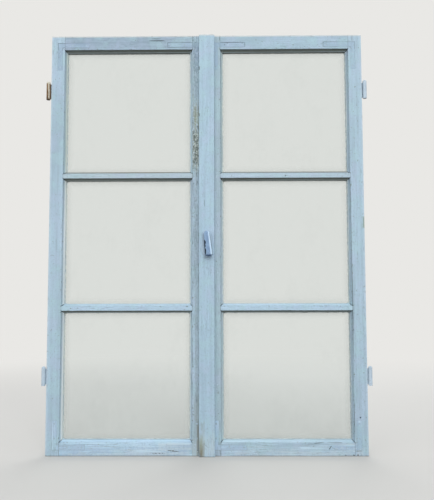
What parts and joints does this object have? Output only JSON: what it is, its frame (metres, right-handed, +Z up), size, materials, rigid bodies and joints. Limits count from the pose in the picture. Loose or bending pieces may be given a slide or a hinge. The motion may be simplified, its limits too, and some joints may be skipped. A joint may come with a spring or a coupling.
{
  "type": "french doors",
  "caption": "Pair of glazed timber leaves with glazing bars, cover strip, hanging lever handle, hidden locking rods and lift-off hinge halves.",
  "frame": {"origin": "bottom of the pair, midway between its hinge edges, at mid-thickness of the timber", "axes": "+X to the right seen from the room, +Y away from the room, +Z up"},
  "size_m": [1.154, 0.082, 1.494],
  "materials": {
    "painted_timber": "old pale blue-grey gloss paint, brushed, cracked and worn",
    "window_glass": "thin clear drawn glass, dusty at its edges",
    "linseed_putty": "hard old linseed putty, painted",
    "painted_iron": "iron painted with the timber",
    "rusty_iron": "bare iron with a brown rust skin",
    "lever_metal": "worn blue-grey cast metal, dirty at its edges",
    "bare_iron": "dark iron with old grease",
    "steel_fixings": "dull steel"
  },
  "bodies": {
    "leaves": {"left_hinge_stile": "painted_timber", "left_meeting_stile": "painted_timber", "left_top_rail": "painted_timber", "left_bottom_rail": "painted_timber", "left_upper_bar": "painted_timber", "left_lower_bar": "painted_timber", "left_upper_pane": "window_glass", "left_middle_pane": "window_glass", "left_lower_pane": "window_glass", "left_upper_putty": "linseed_putty", "left_middle_putty": "linseed_putty", "left_lower_putty": "linseed_putty", "left_top_outer_bracket": "painted_iron", "left_top_inner_bracket": "painted_iron", "left_bottom_outer_bracket": "painted_iron", "left_bottom_inner_bracket": "painted_iron", "left_upper_hinge": "rusty_iron", "left_lower_hinge": "painted_iron", "left_glazing_sprigs": "steel_fixings", "left_bracket_screws": "steel_fixings", "left_hinge_nails": "steel_fixings", "right_hinge_stile": "painted_timber", "right_meeting_stile": "painted_timber", "right_top_rail": "painted_timber", "right_bottom_rail": "painted_timber", "right_upper_bar": "painted_timber", "right_lower_bar": "painted_timber", "right_upper_pane": "window_glass", "right_middle_pane": "window_glass", "right_lower_pane": "window_glass", "right_upper_putty": "linseed_putty", "right_middle_putty": "linseed_putty", "right_lower_putty": "linseed_putty", "right_top_outer_bracket": "painted_iron", "right_top_inner_bracket": "painted_iron", "right_bottom_outer_bracket": "painted_iron", "right_bottom_inner_bracket": "painted_iron", "right_upper_hinge": "painted_iron", "right_lower_hinge": "painted_iron", "right_glazing_sprigs": "steel_fixings", "right_bracket_screws": "steel_fixings", "right_hinge_nails": "steel_fixings", "cover_strip": "painted_timber", "strip_nails": "steel_fixings", "handle_plate": "painted_iron", "plate_screws": "steel_fixings", "gear_case": "bare_iron", "case_cover": "bare_iron", "case_screws": "steel_fixings", "upper_rod_guides": "bare_iron", "lower_rod_guides": "bare_iron"},
    "handle": {"handle_lever": "lever_metal", "handle_spindle": "steel_fixings", "lever_cross_pin": "steel_fixings", "drive_pinion": "bare_iron"},
    "upper_rod": {"upper_rod": "bare_iron"},
    "lower_rod": {"lower_rod": "bare_iron"}
  },
  "joints": [
    {"name": "handle_turn", "type": "hinge", "parent": "leaves", "child": "handle", "pos_m": [0.002, -0.026, 0.768], "axis": [0, -1, 0], "range_deg": [0, 84]},
    {"name": "upper_rod_slide", "type": "slide", "parent": "leaves", "child": "upper_rod", "axis": [0, 0, 1], "range_m": [0, 0.011]},
    {"name": "lower_rod_slide", "type": "slide", "parent": "leaves", "child": "lower_rod", "axis": [0, 0, -1], "range_m": [0, 0.011]}
  ],
  "couplings": [
    {"joint": "upper_rod_slide", "follows": "handle_turn", "m_per_rad": 0.0075},
    {"joint": "lower_rod_slide", "follows": "handle_turn", "m_per_rad": 0.0075}
  ]
}
